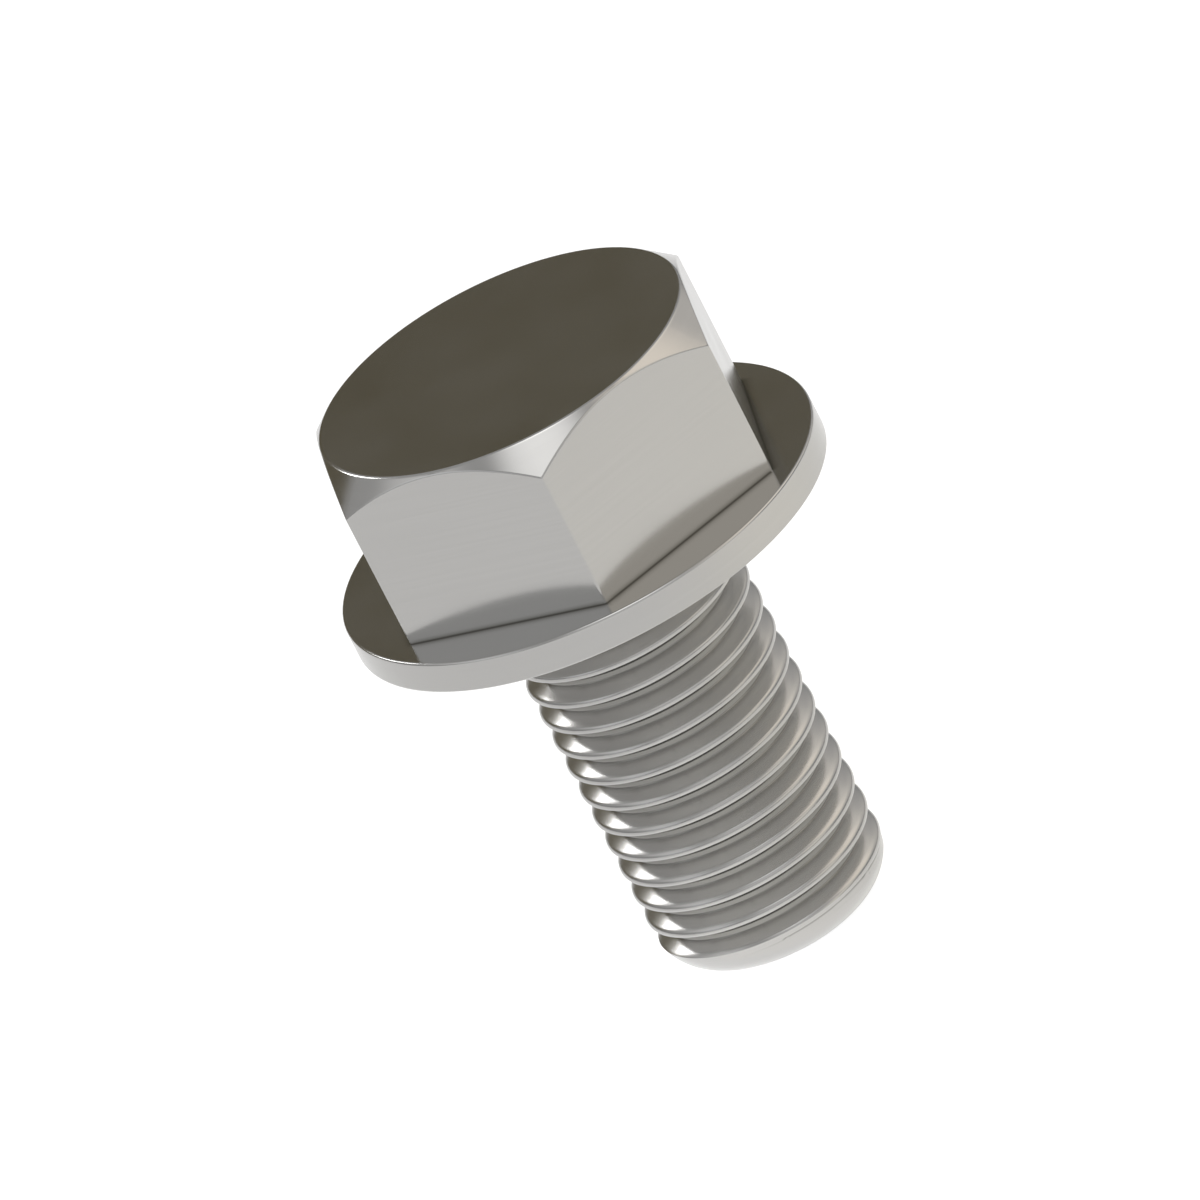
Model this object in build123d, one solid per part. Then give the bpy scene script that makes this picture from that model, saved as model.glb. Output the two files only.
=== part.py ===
from build123d import *
import math
import os

# Flange bolt: a hexagon head on a plain round flange, and a right-hand thread almost up to it.
# The origin is the centre of the flange's bearing face, and +Z runs up through the head.

# Driving dimensions, in millimetres and degrees

# Thread: 60 degree flanks between a flat crest and a flat root
thread_diameter = 12.0
thread_pitch = 1.5
flank_angle = 60.0
crest_share = 0.125
root_share = 0.25
# the groove's centre line crosses the plane of the tip face this far round from +X
thread_start_angle = 21.0

# Shank
under_flange_length = 22.0
# the flat tip is this much smaller in radius than the thread's root
tip_inset = 0.64
tip_chamfer_angle = 45.0
# the plain neck where the rolled thread stops short of the flange
neck_length = 2.2
neck_flare = 0.35

# Flange
# how far the rim stands out past the hexagon's corners
flange_overhang = 1.33
flange_thickness = 1.65
flange_edge_chamfer = 0.12

# Hexagon
across_flats = 19.0
hexagon_height = 8.75
hexagon_edge_radius = 0.2
# the round top face stops this far inside the flats
top_face_inset = 0.12
top_chamfer_angle = 43.0
top_edge_chamfer = 0.1

# Sizes that follow from them

flank_slope = math.tan(math.radians(flank_angle / 2))
crest_flat = crest_share * thread_pitch
root_flat = root_share * thread_pitch
thread_depth = (thread_pitch - crest_flat - root_flat) / 2 / flank_slope
thread_radius = thread_diameter / 2
root_radius = thread_radius - thread_depth
tip_radius = root_radius - tip_inset
tip_chamfer_height = (thread_radius - tip_radius) / math.tan(math.radians(tip_chamfer_angle))
tip_z = -under_flange_length
# a rolled thread's blank is about as wide as the thread at half its depth
neck_radius = (thread_radius + root_radius) / 2
neck_z = -neck_length
corner_radius = across_flats / math.sqrt(3)
flange_radius = corner_radius + flange_overhang
top_z = flange_thickness + hexagon_height
top_face_radius = across_flats / 2 - top_face_inset
top_chamfer_slope = math.tan(math.radians(top_chamfer_angle))


def turned(outline):
    """The solid of revolution about Z of a face drawn in the XZ plane."""
    return revolve(Plane.XZ * outline, axis=Axis.Z)


# Shank blank: a round bar below the neck, coned at both ends, with a flat tip

bar = turned(
    make_face(
        Polyline(
            (0, neck_z),
            (neck_radius, neck_z),
            (thread_radius, neck_z - (thread_radius - neck_radius)),
            (thread_radius, tip_z + tip_chamfer_height),
            (tip_radius, tip_z),
            (0, tip_z),
            close=True,
        )
    )
)

# Thread groove: one turn of a wedge with a flat root, closed by ruled faces between four helices.
# Its mouth stands a little outside the bar, by less than the crest that is left between turns.

mouth_overrun = crest_flat / 4 / flank_slope
mouth_radius = thread_radius + mouth_overrun
root_half_width = root_flat / 2
mouth_half_width = root_half_width + (mouth_radius - root_radius) * flank_slope
groove_z = tip_z - thread_pitch * (1 + thread_start_angle / 360)


def turn_of_helix(radius, shift):
    """One right-hand turn from +X at this radius, moved along the axis from the groove's centre."""
    return Edge.make_helix(thread_pitch, thread_pitch, radius, center=(0, 0, groove_z + shift))


groove_edges = [
    turn_of_helix(root_radius, -root_half_width),
    turn_of_helix(root_radius, root_half_width),
    turn_of_helix(mouth_radius, mouth_half_width),
    turn_of_helix(mouth_radius, -mouth_half_width),
]
groove_faces = []
for edge, next_edge in zip(groove_edges, groove_edges[1:] + groove_edges[:1]):
    groove_faces.append(Face.make_surface_from_curves(edge, next_edge))
for end in (0, 1):
    section = Wire.make_polygon([edge @ end for edge in groove_edges], close=True)
    groove_faces.append(Face(section))
groove_turn = Solid(Shell(groove_faces))

# The turns are stacked a pitch apart from below the tip to above the foot of the neck
turn_count = math.ceil((under_flange_length - neck_length) / thread_pitch) + 3
groove = [Pos(0, 0, turn * thread_pitch) * groove_turn for turn in range(turn_count)]
threaded_bar = bar - groove

# Neck: plain and flared into the flange, with a cone at its foot that closes the groove's end

neck_foot_radius = root_radius - crest_flat / 2
neck_foot_z = neck_z - (neck_radius - neck_foot_radius)
neck_outline = make_face(
    Polyline(
        (0, flange_thickness / 2),
        (thread_radius, flange_thickness / 2),
        (thread_radius, 0),
        (neck_radius, 0),
        (neck_radius, neck_z),
        (neck_foot_radius, neck_foot_z),
        (0, neck_foot_z),
        close=True,
    )
)
neck_corner = neck_outline.vertices().sort_by_distance((neck_radius, 0))[0]
neck = turned(chamfer(neck_corner, neck_flare))
shank = threaded_bar + neck

# Flange: a plain disc with both edges of its rim broken

flange_outline = Rectangle(flange_radius, flange_thickness, align=(Align.MIN, Align.MIN))
rim_corners = flange_outline.vertices().group_by(Axis.X)[-1]
flange = turned(chamfer(rim_corners, flange_edge_chamfer))

# Head: a hexagon prism whose corners are turned off by a cone round a flat top face

cone_radius = corner_radius + 1
head_outline = make_face(
    Polyline(
        (0, 0),
        (cone_radius, 0),
        (cone_radius, top_z - (cone_radius - top_face_radius) * top_chamfer_slope),
        (top_face_radius, top_z),
        (0, top_z),
        close=True,
    )
)
top_corner = head_outline.vertices().group_by(Axis.Y)[-1].sort_by(Axis.X)[-1]
head_cone = turned(chamfer(top_corner, top_edge_chamfer))
hexagon = RegularPolygon(across_flats / 2, 6, major_radius=False, rotation=30)
hexagon = fillet(hexagon.vertices(), hexagon_edge_radius)
head = extrude(hexagon, top_z) & head_cone

# The bolt is forged and rolled in one piece, so it is one solid

bolt = shank + flange + head
bolt.label = "flange_bolt"
os.makedirs("parts", exist_ok=True)
export_step(bolt, "parts/flange_bolt.step")
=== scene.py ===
import math

import bmesh
import bpy
from mathutils import Matrix, Vector


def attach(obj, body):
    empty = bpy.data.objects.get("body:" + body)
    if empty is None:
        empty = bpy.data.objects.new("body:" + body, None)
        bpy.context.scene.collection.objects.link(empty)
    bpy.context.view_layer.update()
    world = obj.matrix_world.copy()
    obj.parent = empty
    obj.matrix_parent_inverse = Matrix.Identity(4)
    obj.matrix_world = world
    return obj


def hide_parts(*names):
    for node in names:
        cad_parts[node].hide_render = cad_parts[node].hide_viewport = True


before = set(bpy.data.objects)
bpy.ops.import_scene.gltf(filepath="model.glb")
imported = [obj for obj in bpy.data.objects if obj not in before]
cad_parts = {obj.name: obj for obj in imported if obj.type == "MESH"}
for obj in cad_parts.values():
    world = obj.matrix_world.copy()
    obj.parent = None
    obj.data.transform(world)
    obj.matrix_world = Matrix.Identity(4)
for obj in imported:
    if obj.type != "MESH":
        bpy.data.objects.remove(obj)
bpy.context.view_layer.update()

scene = bpy.context.scene
mm = 0.001


# Camera
# A long lens looks down on the head from the front. It is rolled so that the upright bolt leans
# to the left in the picture, with its head towards the top left corner.

view_azimuth = math.radians(3.93)
view_elevation = math.radians(24.35)
view_roll = math.radians(27.33)
camera_distance = 1200 * mm
picture_width = 1200
# pixels of the 1200 x 1200 picture to a millimetre, and where it shows the centre of the top face
picture_scale = 21.1667
top_face_pixel = (499.27, 361.73)
top_face_height = 10.4 * mm

back = Vector(
    (
        math.sin(view_azimuth) * math.cos(view_elevation),
        -math.cos(view_azimuth) * math.cos(view_elevation),
        math.sin(view_elevation),
    )
)
level_right = Vector((math.cos(view_azimuth), math.sin(view_azimuth), 0))
level_up = back.cross(level_right)
camera_up = math.cos(view_roll) * level_up + math.sin(view_roll) * level_right
camera_right = math.cos(view_roll) * level_right - math.sin(view_roll) * level_up
aim = (
    Vector((0, 0, top_face_height))
    + camera_right * ((picture_width / 2 - top_face_pixel[0]) / picture_scale * mm)
    + camera_up * ((top_face_pixel[1] - picture_width / 2) / picture_scale * mm)
)
camera_data = bpy.data.cameras.new("camera")
camera_data.sensor_width = 36
camera_data.lens = camera_distance * camera_data.sensor_width / (picture_width / picture_scale * mm)
camera_data.clip_start = 0.1
camera_data.clip_end = 20
camera = bpy.data.objects.new("camera", camera_data)
scene.collection.objects.link(camera)
turn = Matrix((camera_right, camera_up, back)).transposed().to_4x4()
camera.matrix_world = Matrix.Translation(aim + back * camera_distance) @ turn
scene.camera = camera


# Thread
# A right-hand fine thread on a 12 mm stainless bar. It is rolled between dies, so its crests and
# roots are a little round, and it is as smooth as the dies.

thread_radius = 6.0 * mm
thread_pitch = 1.5 * mm
flank_slope = math.tan(math.radians(30))
crest_flat = 0.19 * thread_pitch
root_flat = 0.175 * thread_pitch
# the crest is rounded more on the side that faces the head
crest_rounding_below = 0.15 * mm
crest_rounding_above = 0.26 * mm
root_rounding = 0.15 * mm
# the flank that faces the tip is a little steeper, so that none of it shows from above
steep_slope = math.tan(math.radians(25))
thread_depth = (thread_pitch - crest_flat - root_flat) / 2 / flank_slope
root_radius = thread_radius - thread_depth
tip_height = -22.0 * mm
# the groove's centre line crosses the plane of the tip this far round from +X
thread_start = math.radians(21)
thread_columns = 240
thread_turns = 16


def eased_outline(corners, steps, support=0.0):
    """Points along an outline of (across, up, rounding) corners, each corner rounded in this many
    steps. With a support, each rounding gets one more point that far along the flats beside it."""
    points = []
    for i, (x, z, rounding) in enumerate(corners):
        here = Vector((x, z))
        if not rounding:
            points.append(here)
            continue
        before = (Vector(corners[i - 1][:2]) - here).normalized()
        after = (Vector(corners[(i + 1) % len(corners)][:2]) - here).normalized()
        half = before.angle(after) / 2
        reach = rounding / math.tan(half)
        centre = here + (before + after).normalized() * rounding / math.sin(half)
        first, last = here + before * reach, here + after * reach
        if support:
            points.append(here + before * (reach + support))
        for step in range(steps + 1):
            spoke = (first - centre).slerp(last - centre, step / steps)
            points.append(centre + spoke * rounding)
        if support:
            points.append(here + after * (reach + support))
    return points


flank_run = thread_depth * flank_slope
steep_run = thread_depth * steep_slope
pitch_corners = eased_outline(
    [
        (root_radius, 0, 0),
        (root_radius, root_flat / 2 + flank_run - steep_run, root_rounding),
        (thread_radius, root_flat / 2 + flank_run, crest_rounding_below),
        (thread_radius, root_flat / 2 + flank_run + crest_flat, crest_rounding_above),
        (root_radius, root_flat / 2 + 2 * flank_run + crest_flat, root_rounding),
        (root_radius, thread_pitch, 0),
    ],
    steps=3,
)
# the long flanks are divided so that the turned point can cut across them
flank_part = 0.2 * mm
one_pitch = []
for here, after in zip(pitch_corners, pitch_corners[1:]):
    parts = max(1, round((after - here).length / flank_part))
    for part in range(parts):
        one_pitch.append(here.lerp(after, part / parts))


def node(tree, kind, links=(), **settings):
    """Adds a node. Settings name its properties, or its inputs as in_0, in_1. Links fill inputs, by
    name or number, from a socket, from the first output of another node, or with a number."""
    made = tree.nodes.new(kind)
    for name, value in settings.items():
        if name.startswith("in_"):
            key = name[3:]
            socket = made.inputs[int(key)] if key.isdigit() else made.inputs[key.replace("_", " ")]
            socket.default_value = value
        else:
            setattr(made, name, value)
    for key, source in dict(links).items():
        if isinstance(source, bpy.types.Node):
            source = source.outputs[0]
        if isinstance(source, bpy.types.NodeSocket):
            tree.links.new(source, made.inputs[key])
        else:
            made.inputs[key].default_value = source
    return made


thread_tree = bpy.data.node_groups.new("rolled_thread", "GeometryNodeTree")
interface = thread_tree.interface
interface.new_socket("Pitch Outline", in_out="INPUT", socket_type="NodeSocketGeometry")
thread_inputs = {}
for name, kind in (
    ("Outline Points", "NodeSocketInt"),
    ("Columns", "NodeSocketInt"),
    ("Turns", "NodeSocketInt"),
    ("Pitch", "NodeSocketFloat"),
    ("Start Height", "NodeSocketFloat"),
    ("Material", "NodeSocketMaterial"),
):
    socket = interface.new_socket(name, in_out="INPUT", socket_type=kind)
    thread_inputs[name] = socket.identifier
interface.new_socket("Thread", in_out="OUTPUT", socket_type="NodeSocketGeometry")

given = node(thread_tree, "NodeGroupInput").outputs
per_pitch, columns, turns, pitch = (
    given["Outline Points"],
    given["Columns"],
    given["Turns"],
    given["Pitch"],
)
all_turns = node(thread_tree, "ShaderNodeMath", {0: per_pitch, 1: turns}, operation="MULTIPLY")
rows = node(thread_tree, "ShaderNodeMath", {0: all_turns, 1: 1.0}, operation="ADD")
all_columns = node(thread_tree, "ShaderNodeMath", {0: columns, 1: 1.0}, operation="ADD")
sheet_of_points = node(
    thread_tree,
    "GeometryNodeMeshGrid",
    {"Vertices X": all_columns, "Vertices Y": rows},
)
index = node(thread_tree, "GeometryNodeInputIndex")
# half a point more keeps the rounding down safe where a division comes out whole
past_index = node(thread_tree, "ShaderNodeMath", {0: index, 1: 0.5}, operation="ADD")
columns_before = node(thread_tree, "ShaderNodeMath", {0: past_index, 1: rows}, operation="DIVIDE")
column = node(thread_tree, "ShaderNodeMath", {0: columns_before}, operation="FLOOR")
column_start = node(thread_tree, "ShaderNodeMath", {0: column, 1: rows}, operation="MULTIPLY")
row = node(thread_tree, "ShaderNodeMath", {0: index, 1: column_start}, operation="SUBTRACT")
past_row = node(thread_tree, "ShaderNodeMath", {0: row, 1: 0.5}, operation="ADD")
turns_before = node(thread_tree, "ShaderNodeMath", {0: past_row, 1: per_pitch}, operation="DIVIDE")
turn_number = node(thread_tree, "ShaderNodeMath", {0: turns_before}, operation="FLOOR")
turn_start = node(
    thread_tree, "ShaderNodeMath", {0: turn_number, 1: per_pitch}, operation="MULTIPLY"
)
point_number = node(thread_tree, "ShaderNodeMath", {0: row, 1: turn_start}, operation="SUBTRACT")
outline_places = node(thread_tree, "GeometryNodeInputPosition")
sampled = node(
    thread_tree,
    "GeometryNodeSampleIndex",
    {"Geometry": given["Pitch Outline"], "Index": point_number},
    data_type="FLOAT_VECTOR",
    domain="POINT",
)
thread_tree.links.new(outline_places.outputs[0], sampled.inputs["Value"])
outline_point = node(thread_tree, "ShaderNodeSeparateXYZ", {0: sampled}).outputs
share = node(thread_tree, "ShaderNodeMath", {0: column, 1: columns}, operation="DIVIDE")
angle = node(thread_tree, "ShaderNodeMath", {0: share, 1: math.tau}, operation="MULTIPLY")
cosine = node(thread_tree, "ShaderNodeMath", {0: angle}, operation="COSINE")
sine = node(thread_tree, "ShaderNodeMath", {0: angle}, operation="SINE")
wound_by = node(thread_tree, "ShaderNodeMath", {0: share, 1: turn_number}, operation="ADD")
climb = node(thread_tree, "ShaderNodeMath", {0: pitch, 1: wound_by}, operation="MULTIPLY")
risen = node(thread_tree, "ShaderNodeMath", {0: outline_point["Z"], 1: climb}, operation="ADD")
place = node(
    thread_tree,
    "ShaderNodeCombineXYZ",
    {
        0: node(thread_tree, "ShaderNodeMath", {0: outline_point["X"], 1: cosine}, operation="MULTIPLY"),
        1: node(thread_tree, "ShaderNodeMath", {0: outline_point["X"], 1: sine}, operation="MULTIPLY"),
        2: node(thread_tree, "ShaderNodeMath", {0: risen, 1: given["Start Height"]}, operation="ADD"),
    },
)
wound = node(
    thread_tree,
    "GeometryNodeSetPosition",
    {"Geometry": sheet_of_points.outputs["Mesh"], "Position": place},
)
welded = node(
    thread_tree, "GeometryNodeMergeByDistance", {"Geometry": wound}, in_Distance=0.001 * mm
)
smooth = node(thread_tree, "GeometryNodeSetShadeSmooth", {"Geometry": welded})
realized = node(thread_tree, "GeometryNodeRealizeInstances", {"Geometry": smooth})
finished = node(
    thread_tree,
    "GeometryNodeSetMaterial",
    {"Geometry": realized, "Material": given["Material"]},
)
node(thread_tree, "NodeGroupOutput", {0: finished})


def linear(hex_colour):
    """The linear colour of an sRGB hex value."""
    channels = [int(hex_colour[i : i + 2], 16) / 255 for i in (1, 3, 5)]
    return [c / 12.92 if c <= 0.04045 else ((c + 0.055) / 1.055) ** 2.4 for c in channels] + [1]


# Polished stainless steel. The eye sees soft-edged mirrors of a pale room, with faint level marks
# of the brush, slightly duller smears, and painted shade that darkens the roots and inner corners.
steel = bpy.data.materials.new("polished_stainless_steel")
steel.use_nodes = True
steel_tree = steel.node_tree
steel_tree.nodes.clear()
in_place = node(steel_tree, "ShaderNodeTexCoord").outputs["Object"]
height = node(steel_tree, "ShaderNodeSeparateXYZ", {0: in_place}).outputs["Z"]
# the marks are some 9 mm long. Real ones lie a few hundredths of a millimetre apart, and these are
# drawn an eighth of a millimetre apart, so that they show
brush_marks = node(
    steel_tree,
    "ShaderNodeTexNoise",
    {
        "Vector": node(
            steel_tree,
            "ShaderNodeMapping",
            {"Vector": in_place},
            in_Location=(0.37, 0.71, 0.43),
            in_Scale=(0.11 / mm, 0.11 / mm, 8.0 / mm),
        ).outputs[0]
    },
    in_Scale=1.0,
    in_Detail=1.0,
    in_Roughness=0.5,
).outputs["Fac"]
# the smears of a wiped surface are 4 or 5 mm across
smears = node(
    steel_tree,
    "ShaderNodeTexNoise",
    {"Vector": in_place},
    in_Scale=0.22 / mm,
    in_Detail=2.0,
).outputs["Fac"]
# Pointiness is a half on flats and less in inner corners
# painted shade: the colour darkens in inner corners, where pointiness is low
corner_shade = node(
    steel_tree,
    "ShaderNodeMapRange",
    {"Value": node(steel_tree, "ShaderNodeNewGeometry").outputs["Pointiness"]},
    in_From_Min=0.462,
    in_From_Max=0.499,
    in_To_Min=1.0,
    in_To_Max=0.0,
).outputs[0]
# the flat roots of the thread get painted shade too, which fades out just above them. The bolt's
# flat end lies as near to the axis, but outside the threaded length, and stays unshaded
level_place = node(
    steel_tree, "ShaderNodeVectorMath", {0: in_place}, operation="MULTIPLY", in_1=(1, 1, 0)
).outputs["Vector"]
from_axis = node(
    steel_tree, "ShaderNodeVectorMath", {0: level_place}, operation="LENGTH"
).outputs["Value"]
root_shade = node(
    steel_tree,
    "ShaderNodeMapRange",
    {"Value": from_axis},
    in_From_Min=5.27 * mm,
    in_From_Max=5.20 * mm,
    in_To_Min=0.0,
    in_To_Max=0.8,
).outputs[0]
thread_middle = -11 * mm
thread_reach = 10.4 * mm
along_thread = node(
    steel_tree,
    "ShaderNodeMath",
    {0: height, 1: thread_middle, 2: thread_reach},
    operation="COMPARE",
)
thread_root_shade = node(
    steel_tree, "ShaderNodeMath", {0: root_shade, 1: along_thread}, operation="MULTIPLY"
)
painted_shade = node(
    steel_tree, "ShaderNodeMath", {0: corner_shade, 1: thread_root_shade}, operation="MAXIMUM"
)
marked = node(
    steel_tree,
    "ShaderNodeMix",
    {"Factor": brush_marks},
    data_type="RGBA",
    in_6=linear("#B4B3B1"),
    in_7=linear("#B8B7B5"),
).outputs[2]
# painted shade: the roots and inner corners are mixed towards a dark grey
painted_shade_share = node(steel_tree, "ShaderNodeMath", {0: painted_shade, 1: 0.8}, operation="MULTIPLY")
shaded_colour = node(
    steel_tree,
    "ShaderNodeMix",
    {"Factor": painted_shade_share, 6: marked},
    data_type="RGBA",
    in_7=linear("#6B6963"),
).outputs[2]
# the rolled thread is a little duller than the head
on_thread = node(
    steel_tree,
    "ShaderNodeMapRange",
    {"Value": height},
    in_From_Min=0.0,
    in_From_Max=-1.5 * mm,
    in_To_Min=0.12,
    in_To_Max=0.19,
).outputs[0]
smear_dullness = node(steel_tree, "ShaderNodeMath", {0: smears, 1: 0.07}, operation="MULTIPLY")
brush_dullness = node(
    steel_tree, "ShaderNodeMath", {0: brush_marks, 1: 0.03}, operation="MULTIPLY"
)
dullness = node(
    steel_tree, "ShaderNodeMath", {0: smear_dullness, 1: brush_dullness}, operation="ADD"
)
brushed = node(
    steel_tree,
    "ShaderNodeBump",
    {"Height": brush_marks},
    in_Strength=0.12,
    in_Distance=0.0002 * mm,
)
steel_shader = node(
    steel_tree,
    "ShaderNodeBsdfPrincipled",
    {
        "Base Color": shaded_colour,
        "Roughness": node(
            steel_tree, "ShaderNodeMath", {0: dullness, 1: on_thread}, operation="ADD"
        ),
        "Normal": brushed,
    },
    in_Metallic=1.0,
)
node(steel_tree, "ShaderNodeOutputMaterial", {0: steel_shader})

outline_mesh = bpy.data.meshes.new("pitch_outline")
outline_mesh.from_pydata([(p.x, 0, p.y) for p in one_pitch], [], [])
outline_object = bpy.data.objects.new("pitch_outline", outline_mesh)
scene.collection.objects.link(outline_object)
winding = outline_object.modifiers.new("rolled_thread", "NODES")
winding.node_group = thread_tree
for name, value in (
    ("Outline Points", len(one_pitch)),
    ("Columns", thread_columns),
    ("Turns", thread_turns),
    ("Pitch", thread_pitch),
    ("Start Height", tip_height - thread_pitch * (1 + thread_start / math.tau)),
    ("Material", steel),
):
    winding[thread_inputs[name]] = value
bpy.context.view_layer.update()
evaluated = outline_object.evaluated_get(bpy.context.evaluated_depsgraph_get())
bolt_mesh = bpy.data.meshes.new_from_object(evaluated)
bolt_mesh.name = "flange_bolt"
outline_object.modifiers.clear()
bpy.data.objects.remove(outline_object)
bpy.data.meshes.remove(outline_mesh)


# Shank ends
# The bar's tip is turned to a blunt point with a flat end, and the thread's first turn rises out
# of it at the back. Near the flange the rolled thread stops at a short plain neck that flares out.

# the point's side is an arc of this radius about this centre, seen in a cut through the axis
point_arc = 2.49 * mm
point_centre = (3.527 * mm, tip_height + 2.30 * mm)
# the point is filled out to this radius below the last crest, and eased into the arc over this far
point_radius = 5.9 * mm
point_easing = 0.15 * mm
# what is filled up stands this much proud before it is turned
turning_allowance = 0.02 * mm
# the first groove starts this many degrees round from the front, and is full so many further on
groove_start = 95
groove_lead = 75
tip_edge_rounding = 0.15 * mm
neck_radius = (thread_radius + root_radius) / 2
neck_height = -0.9 * mm
neck_flare = 0.35 * mm

bolt = bmesh.new()
bolt.from_mesh(bolt_mesh)
columns_of_thread = [[] for column in range(thread_columns)]
for vert in bolt.verts:
    share = math.atan2(vert.co.y, vert.co.x) / math.tau
    columns_of_thread[round(share * thread_columns) % thread_columns].append(vert)
for column in columns_of_thread:
    column.sort(key=lambda v: v.co.z)
turning_lines = set()


def turn_to(radius_at, outside, low, high):
    """Turns away what stands outside the radius that radius_at gives for a place, or fills up what
    lies inside it, between two heights. In each column the vertex nearest to where this starts is
    moved there, so that the line where it starts is clean."""
    sign = 1 if outside else -1

    def proud(place):
        return sign * (math.hypot(place.x, place.y) - radius_at(place))

    line = []
    for column in columns_of_thread:
        verts = [v for v in column if low <= v.co.z <= high]
        standing = [proud(v.co) for v in verts]
        for i in range(len(verts) - 1):
            a, b = standing[i], standing[i + 1]
            if (a > 0) == (b > 0):
                continue
            share = a / (a - b)
            start = verts[i].co.lerp(verts[i + 1].co, share)
            nearest = i if share < 0.5 else i + 1
            verts[nearest].co = start
            standing[nearest] = 0
            line.append(verts[nearest])
        for vert, depth in zip(verts, standing):
            if depth > 0:
                scale = radius_at(vert.co) / math.hypot(vert.co.x, vert.co.y)
                vert.co.x *= scale
                vert.co.y *= scale
    bmesh.ops.connect_verts(bolt, verts=list(dict.fromkeys(line)))
    turning_lines.update(line)


def cut_off(plane_height, keep_above):
    """Cuts the shank square at this height, and drops the part beyond."""
    bmesh.ops.bisect_plane(
        bolt,
        geom=bolt.verts[:] + bolt.edges[:] + bolt.faces[:],
        dist=0.0001 * mm,
        plane_co=(0, 0, plane_height),
        plane_no=(0, 0, 1),
        clear_inner=keep_above,
        clear_outer=not keep_above,
    )


def point_limit(place):
    """The radius of the turned point's rounded side."""
    below = min(point_centre[1] - place.z, point_arc)
    if below < 0:
        return point_centre[0] + point_arc
    return point_centre[0] + math.sqrt(point_arc**2 - below**2)


def lead_in(place):
    """The radius that stays uncut below the thread's last crest. The groove above it starts at the
    back, where it sinks in from the point's side to the thread's root."""
    # degrees round from the front, anticlockwise as seen from above
    from_front = math.degrees(math.atan2(place.y, place.x)) + 90 - math.degrees(view_azimuth)
    from_front = (from_front + 180) % 360 - 180
    turned_by = math.radians(from_front - 90) + view_azimuth - thread_start
    last_crest = tip_height + thread_pitch * (turned_by / math.tau + 1.5)
    if place.z > last_crest:
        return 0
    limit = point_limit(place) + turning_allowance
    near = max(point_easing - abs(point_radius - limit), 0)
    full = min(point_radius, limit) - near**2 / (4 * point_easing)
    if place.z < last_crest - thread_pitch:
        return full
    sunk = min(max((from_front - groove_start) / groove_lead, 0), 1)
    # eased, so that the groove's bottom starts and ends level
    sunk = sunk * sunk * (3 - 2 * sunk)
    return full - sunk * max(full - root_radius, 0)


tip_cut = tip_height + 0.06 * mm
point_reach = (tip_height - mm, tip_height + 3.2 * mm)
turn_to(lead_in, False, *point_reach)
turn_to(point_limit, True, *point_reach)
# the groove is filled and the crest turned off along two cones that meet in the neck
neck_reach = (neck_height - 0.9 * mm, 0)
turn_to(lambda place: neck_radius - max(neck_height - place.z, 0), False, *neck_reach)
turn_to(lambda place: neck_radius + max(neck_height - place.z, 0), True, *neck_reach)
sharp_from = math.radians(18)
for edge in bolt.edges:
    if edge.verts[0] in turning_lines and edge.verts[1] in turning_lines:
        edge.smooth = edge.calc_face_angle(0) < sharp_from
cut_off(tip_cut, keep_above=True)
cut_off(neck_height, keep_above=False)


def boundary_ring(height):
    """The open edge loop at this height, as its vertices in order of angle."""
    ring = {
        v
        for e in bolt.edges
        if e.is_boundary
        for v in e.verts
        if abs(v.co.z - height) < 0.01 * mm
    }
    return sorted(ring, key=lambda v: math.atan2(v.co.y, v.co.x))


def add_ring(places):
    """New vertices at these places."""
    return [bolt.verts.new(p) for p in places]


def skin(lower, upper):
    """Joins two rings of as many vertices with faces that look outwards when upper is above."""
    count = len(lower)
    for i in range(count):
        j = (i + 1) % count
        bolt.faces.new((lower[i], lower[j], upper[j], upper[i]))


def round_ring(ring, radius, height):
    """A circle of vertices at the angles of another ring."""
    places = []
    for vert in ring:
        flat = Vector((vert.co.x, vert.co.y, 0)).normalized() * radius
        places.append((flat.x, flat.y, height))
    return add_ring(places)


# extra rings this far beside a rounded edge keep the flats next to it flat
support = 0.03 * mm
tip_ring = boundary_ring(tip_cut)
tip_outline = eased_outline(
    [
        (point_limit(Vector((0, 0, tip_cut))), tip_cut, 0),
        (point_limit(Vector((0, 0, tip_height))), tip_height, tip_edge_rounding),
        (0, tip_height, 0),
    ],
    steps=3,
    support=support,
)[1:-1]
upper = tip_ring
for point in tip_outline:
    lower = round_ring(tip_ring, point.x, point.y)
    skin(lower, upper)
    upper = lower
centre = bolt.verts.new((0, 0, tip_height))
for i in range(len(upper)):
    bolt.faces.new((upper[i], centre, upper[(i + 1) % len(upper)]))

neck_ring = boundary_ring(neck_height)
neck_outline = [(neck_radius, neck_height + support), (neck_radius, -neck_flare - support)]
flare_steps = 6
for step in range(flare_steps + 1):
    sweep = math.pi / 2 * step / flare_steps
    neck_outline.append(
        (
            neck_radius + neck_flare * (1 - math.cos(sweep)),
            -neck_flare + neck_flare * math.sin(sweep),
        )
    )
neck_outline.append((neck_radius + neck_flare + support, 0))
lower = neck_ring
for radius, height in neck_outline:
    upper = round_ring(neck_ring, radius, height)
    skin(lower, upper)
    lower = upper
bearing_inner = lower


# Flange and head
# The head is cold forged with its flange in one blow, a 19 mm hexagon on a plain round disc. Its
# corners are turned off by a cone that leaves a round top face.

flange_radius = 12.30 * mm
flange_thickness = 1.65 * mm
flange_edge = 0.12 * mm
across_flats = 19.0 * mm
corner_rounding = 0.12 * mm
top_face_radius = across_flats / 2 - 0.12 * mm
top_chamfer = math.radians(43)
# how far the roundings of the face's upper edge and of the top face's edge reach
wall_edge = 0.07 * mm
top_edge = 0.09 * mm
cone_support = 0.012 * mm
columns_a_face = 22
corner_steps = 4

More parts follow.
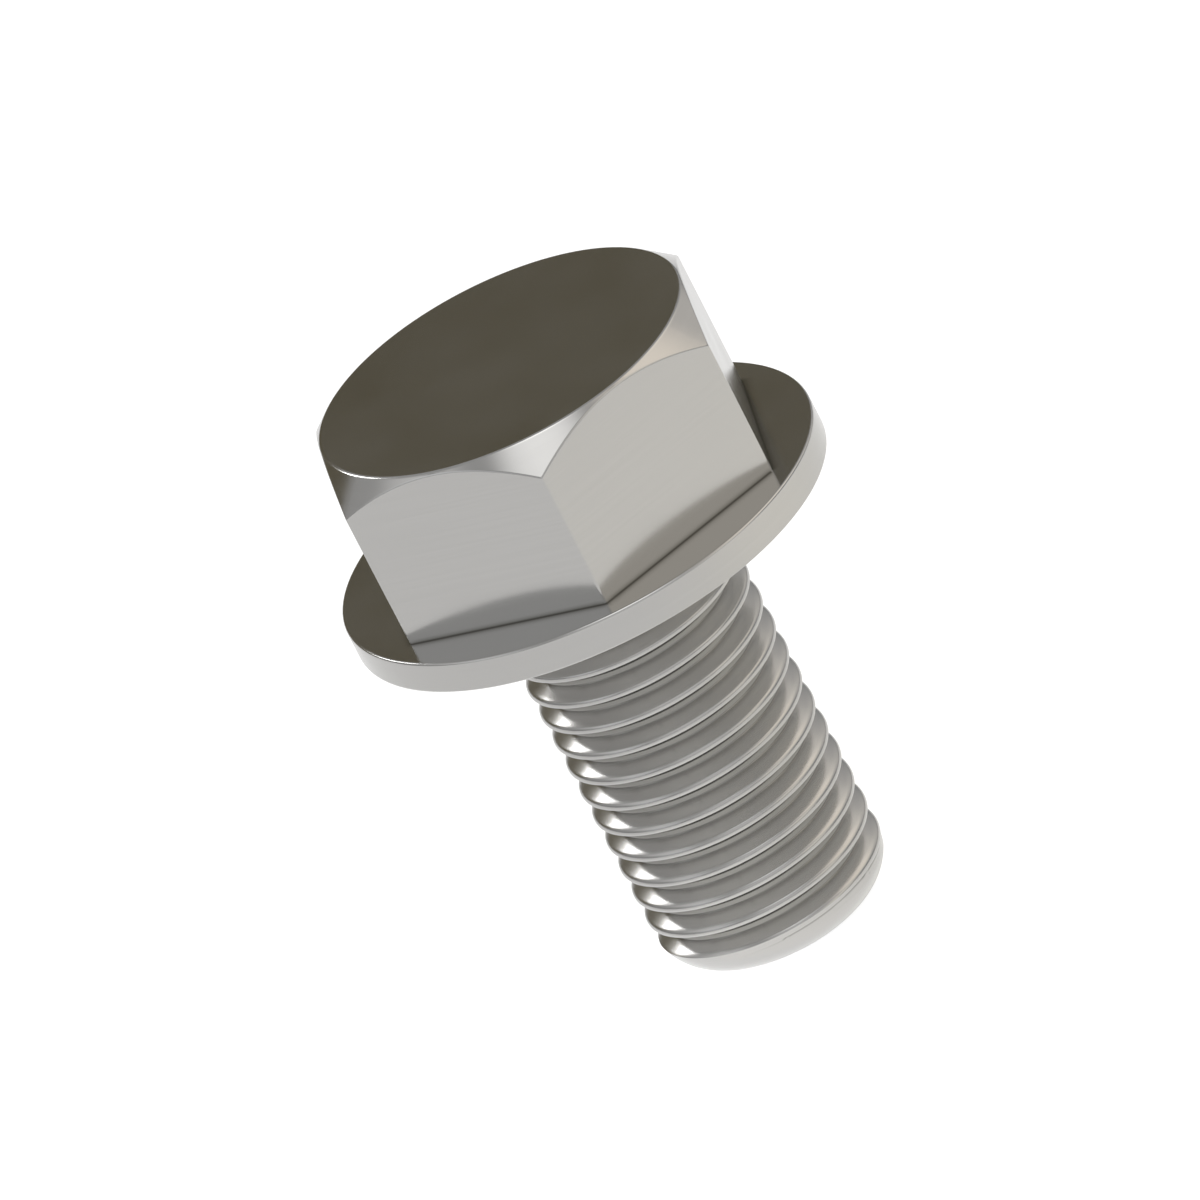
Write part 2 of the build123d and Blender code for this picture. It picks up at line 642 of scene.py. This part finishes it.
hexagon = []
for face in range(6):
    facing = math.radians(60 * face)
    normal = Vector((math.cos(facing), math.sin(facing), 0))
    along = Vector((-math.sin(facing), math.cos(facing), 0))
    flat_half = (across_flats / 2 - corner_rounding) * math.tan(math.radians(30))
    offsets = [-flat_half, -flat_half + support]
    for column_number in range(1, columns_a_face):
        offsets.append(-flat_half + 2 * flat_half * column_number / columns_a_face)
    offsets += [flat_half - support, flat_half]
    for offset in offsets:
        hexagon.append((normal * across_flats / 2 + along * offset, normal))
    corner = math.radians(60 * face + 30)
    corner_centre = Vector((math.cos(corner), math.sin(corner), 0)) * (
        (across_flats / 2 - corner_rounding) / math.cos(math.radians(30))
    )
    for step in range(1, corner_steps):
        sweep = facing + math.radians(60) * step / corner_steps
        normal = Vector((math.cos(sweep), math.sin(sweep), 0))
        hexagon.append((corner_centre + normal * corner_rounding, normal))


def hexagon_ring(outwards, height):
    """The hexagon's outline, moved outwards from its faces, at a height."""
    return add_ring([p + n * outwards + Vector((0, 0, height)) for p, n in hexagon])


def circle_ring(radius, height):
    """A circle of as many vertices as the hexagon's outline has, at a height."""
    return add_ring([p.normalized() * radius + Vector((0, 0, height)) for p, n in hexagon])


rim_outline = eased_outline(
    [
        (0, 0, 0),
        (flange_radius, 0, flange_edge),
        (flange_radius, flange_thickness, flange_edge),
        (0, flange_thickness, 0),
    ],
    steps=4,
    support=support,
)[1:-1]
bearing_outer = circle_ring(rim_outline[0].x, 0)
lower = bearing_outer
for point in rim_outline[1:]:
    upper = circle_ring(point.x, point.y)
    skin(lower, upper)
    lower = upper

# rings close to the foot keep the painted shade of its corner there
shade_reach = 0.3 * mm
foot_ring = hexagon_ring(0, flange_thickness)
rings = [
    hexagon_ring(2 * shade_reach, flange_thickness),
    hexagon_ring(shade_reach, flange_thickness),
    hexagon_ring(2 * support, flange_thickness),
    foot_ring,
    hexagon_ring(0, flange_thickness + 2 * support),
    hexagon_ring(0, flange_thickness + shade_reach),
    hexagon_ring(0, flange_thickness + 2 * shade_reach),
]


def cone_height(radius):
    """The height of the cone that turns off the corners, at this radius."""
    return top_face_height - (radius - top_face_radius) * math.tan(top_chamfer)


# from the wall over the rounded upper edge of each face to the cone
wall_rings = [[] for number in range(6)]
for point, normal in hexagon:
    reach = point.length
    spoke = point.normalized()
    edge_height = cone_height(reach)
    wall = Vector((point.x, point.y, edge_height - wall_edge))
    slope = Vector((0, 0, 1)) * math.sin(top_chamfer) - spoke * math.cos(top_chamfer)
    corner_point = Vector((point.x, point.y, edge_height))
    cone = corner_point + slope * wall_edge
    wall_rings[0].append(wall - Vector((0, 0, support)))
    wall_rings[1].append(wall)
    for number, share in ((2, 1 / 3), (3, 2 / 3)):
        wall_rings[number].append(
            wall * (1 - share) ** 2 + corner_point * 2 * share * (1 - share) + cone * share**2
        )
    wall_rings[4].append(cone)
    wall_rings[5].append(cone + slope * cone_support)
rings += [add_ring(places) for places in wall_rings]
top_outline = eased_outline(
    [
        (top_face_radius + 1 * mm, cone_height(top_face_radius + 1 * mm), 0),
        (top_face_radius, top_face_height, top_edge / math.tan(top_chamfer / 2)),
        (0, top_face_height, 0),
    ],
    steps=3,
    support=cone_support,
)[1:-1]
rings += [circle_ring(point.x, point.y) for point in top_outline]
for ring in rings:
    skin(lower, ring)
    lower = ring
for i in range(len(foot_ring)):
    bolt.edges.get((foot_ring[i], foot_ring[(i + 1) % len(foot_ring)])).smooth = False
centre = bolt.verts.new((0, 0, top_face_height))
for i in range(len(lower)):
    bolt.faces.new((lower[i], lower[(i + 1) % len(lower)], centre))

bearing_edges = []
for ring in (bearing_inner, bearing_outer):
    for i in range(len(ring)):
        bearing_edges.append(bolt.edges.get((ring[i], ring[(i + 1) % len(ring)])))
bmesh.ops.triangle_fill(bolt, edges=bearing_edges, use_beauty=True, normal=(0, 0, -1))

bmesh.ops.remove_doubles(bolt, verts=bolt.verts[:], dist=0.0002 * mm)
bmesh.ops.recalc_face_normals(bolt, faces=bolt.faces[:])
for face in bolt.faces:
    face.smooth = True
    face.material_index = 0
bolt.to_mesh(bolt_mesh)
bolt.free()
bolt_mesh.materials.clear()
bolt_mesh.materials.append(steel)
bolt_object = bpy.data.objects.new("bolt", bolt_mesh)
scene.collection.objects.link(bolt_object)
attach(bolt_object, "root")
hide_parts("flange_bolt")


# Floor
# A sheet of white paper, wide enough to fill every view. It is lifted to white for the camera and
# in reflections, and still takes the bolt's soft shadow.

floor_mesh = bpy.data.meshes.new("floor")
# half the sheet's width, in metres
floor_half = 6.0
# a hair below the tip, so that the two faces never lie in one plane
floor_height = tip_height - 0.005 * mm
floor_mesh.from_pydata(
    [
        (-floor_half, -floor_half, floor_height),
        (floor_half, -floor_half, floor_height),
        (floor_half, floor_half, floor_height),
        (-floor_half, floor_half, floor_height),
    ],
    [],
    [(0, 1, 2, 3)],
)
floor = bpy.data.objects.new("floor", floor_mesh)
scene.collection.objects.link(floor)
# Matt white paper. The eye sees an even white and the bolt's soft shadow.
paper = bpy.data.materials.new("white_paper")
paper.use_nodes = True
paper_tree = paper.node_tree
paper_tree.nodes.clear()
# a little under 1, because the lit paper adds the rest of the white
paper_lift = 0.92
# reflections show the sheet this bright beside what the camera sees
mirrored_share = 0.87
ray = node(paper_tree, "ShaderNodeLightPath").outputs
mirrored = node(
    paper_tree,
    "ShaderNodeMath",
    {0: ray["Is Glossy Ray"], 1: ray["Is Transmission Ray"]},
    operation="MAXIMUM",
)
dimmed = node(paper_tree, "ShaderNodeMath", {0: mirrored, 1: mirrored_share}, operation="MULTIPLY")
seen = node(
    paper_tree, "ShaderNodeMath", {0: ray["Is Camera Ray"], 1: dimmed}, operation="MAXIMUM"
)
lifted = node(paper_tree, "ShaderNodeMath", {0: seen, 1: paper_lift}, operation="MULTIPLY")
lift = node(paper_tree, "ShaderNodeEmission", {"Strength": lifted}, in_Color=linear("#FFFFFF"))
matt = node(paper_tree, "ShaderNodeBsdfDiffuse", in_Color=linear("#7C7C7C"))
both = node(paper_tree, "ShaderNodeAddShader", {0: lift, 1: matt})
node(paper_tree, "ShaderNodeOutputMaterial", {0: both})
floor_mesh.materials.append(paper)


# Studio
# A pale room that darkens towards the foot of its walls, a soft box and two spots well outside the
# camera's reach, and a dark card behind the bolt that its level faces mirror.

world = bpy.data.worlds.new("studio_room")
world.use_nodes = True
scene.world = world
world_tree = world.node_tree
world_tree.nodes.clear()
heading = node(world_tree, "ShaderNodeTexCoord").outputs["Generated"]
# the walls are darker towards their foot
height_in_room = node(world_tree, "ShaderNodeSeparateXYZ", {0: heading}).outputs["Z"]
wall_light = node(
    world_tree,
    "ShaderNodeMapRange",
    {"Value": height_in_room},
    interpolation_type="SMOOTHSTEP",
    in_From_Min=0.02,
    in_From_Max=0.26,
    in_To_Min=0.2,
    in_To_Max=0.5,
)
room = node(world_tree, "ShaderNodeBackground", {"Strength": wall_light}, in_Color=(1, 1, 1, 1))


def toward(around, up):
    """The direction this many degrees round to the right from straight behind the bolt, and up."""
    level_back = Vector((-back.x, -back.y, 0)).normalized()
    around, up = math.radians(around), math.radians(up)
    return (level_back * math.cos(around) + level_right * math.sin(around)) * math.cos(up) + Vector(
        (0, 0, math.sin(up))
    )


# each patch of wall: where it is, how many degrees it reaches, how strong it is and its colour
light = room
for around, up, reach, strength, colour in (
    # the broad soft light over the camera, and the pale wall behind it
    (180, 72, 21, 1.08, "#FFFFFF"),
    (180, 90, 15, 1.6, "#FFFFFF"),
    (180, 20, 45, 0.35, "#FFFFFF"),
    # the warm wall on the right
    (84, 48, 30, 0.85, "#FFF1DD"),
    (46, 44, 17, 0.5, "#FFF6E8"),
    (50, 20, 24, 0.3, "#FFF6E8"),
    (126, 22, 26, 0.64, "#FFF7E8"),
    # the paler one on the left
    (-88, 44, 24, 0.4, "#FFFFFF"),
    (-114, 22, 26, 0.46, "#F6FAFF"),
):
    aimed = node(
        world_tree,
        "ShaderNodeVectorMath",
        {0: heading},
        operation="DOT_PRODUCT",
        in_1=toward(around, up),
    )
    glow = node(
        world_tree,
        "ShaderNodeMapRange",
        {"Value": aimed.outputs["Value"]},
        interpolation_type="SMOOTHSTEP",
        in_From_Min=math.cos(math.radians(reach)),
        in_From_Max=1.0,
        in_To_Min=0.0,
        in_To_Max=strength,
    )
    soft = node(world_tree, "ShaderNodeBackground", {"Strength": glow}, in_Color=linear(colour))
    light = node(world_tree, "ShaderNodeAddShader", {0: light, 1: soft})
node(world_tree, "ShaderNodeOutputWorld", {0: light})

# in metres, outside the reach of any camera round the bolt
studio_distance = 1.3


def soft_box(name, around, up, wide, high, brightness, colour):
    """A rectangular lamp that faces the bolt, its place and size given in degrees as seen from it."""
    lamp_data = bpy.data.lights.new(name, "AREA")
    lamp_data.shape = "RECTANGLE"
    lamp_data.size = 2 * studio_distance * math.tan(math.radians(wide / 2))
    lamp_data.size_y = 2 * studio_distance * math.tan(math.radians(high / 2))
    lamp_data.energy = brightness * math.pi * lamp_data.size * lamp_data.size_y
    lamp_data.color = linear(colour)[:3]
    lamp = bpy.data.objects.new(name, lamp_data)
    scene.collection.objects.link(lamp)
    place = toward(around, up)
    lamp.matrix_world = Matrix.Translation(place * studio_distance) @ place.to_track_quat(
        "Z", "Y"
    ).to_matrix().to_4x4()


soft_box("left_box", around=-37.5, up=33, wide=7.5, high=17, brightness=7.5, colour="#FFFFFF")

lit_in_pools = bpy.data.collections.new("lit_in_pools")
lit_in_pools.objects.link(floor)


def floor_pool(name, around, away, half_width, lamp_from, energy, colour):
    """A soft pool of light on the floor alone, this far away from the bolt's axis. The bolt's own
    surfaces only mirror it."""
    lamp_data = bpy.data.lights.new(name, "SPOT")
    lamp_data.energy = energy
    lamp_data.color = linear(colour)[:3]
    lamp_data.spot_size = 2 * math.atan(half_width / studio_distance)
    lamp_data.spot_blend = 1.0
    lamp_data.shadow_soft_size = half_width
    lamp = bpy.data.objects.new(name, lamp_data)
    scene.collection.objects.link(lamp)
    place = toward(*lamp_from) * studio_distance
    pool_aim = toward(around, 0) * away + Vector((0, 0, tip_height))
    lamp.matrix_world = Matrix.Translation(place) @ (place - pool_aim).to_track_quat(
        "Z", "Y"
    ).to_matrix().to_4x4()
    lamp.light_linking.receiver_collection = lit_in_pools


# the right-hand faces mirror the warm one, and the turned point the one at its foot
floor_pool(
    "warm_pool",
    around=104,
    away=68 * mm,
    half_width=50 * mm,
    lamp_from=(110, 50),
    energy=138,
    colour="#FFEFBC",
)
floor_pool(
    "point_pool",
    around=-135,
    away=7.5 * mm,
    half_width=12 * mm,
    lamp_from=(-160, 36),
    energy=360,
    colour="#FFFFFF",
)

card_mesh = bpy.data.meshes.new("dark_card")
card_places = []
card_steps = 24
card_left, card_right = -48, 17
card_foot, card_top = 2.4, 29
for step in range(card_steps + 1):
    around = card_left + (card_right - card_left) * step / card_steps
    for up in (card_foot, card_top):
        place = toward(around, 0) * studio_distance
        place.z = studio_distance * math.tan(math.radians(up))
        card_places.append(place)
card_mesh.from_pydata(
    card_places,
    [],
    [(2 * i, 2 * i + 1, 2 * i + 3, 2 * i + 2) for i in range(card_steps)],
)
card = bpy.data.objects.new("dark_card", card_mesh)
scene.collection.objects.link(card)
# Matt olive card. The eye sees it only mirrored, as the dark tone of the top face and flange.
card_paper = bpy.data.materials.new("dark_olive_card")
card_paper.use_nodes = True
card_tree = card_paper.node_tree
card_tree.nodes.clear()
card_matt = node(card_tree, "ShaderNodeBsdfDiffuse", in_Color=linear("#8F8770"))
node(card_tree, "ShaderNodeOutputMaterial", {0: card_matt})
card_mesh.materials.append(card_paper)

scene.view_settings.view_transform = "Standard"
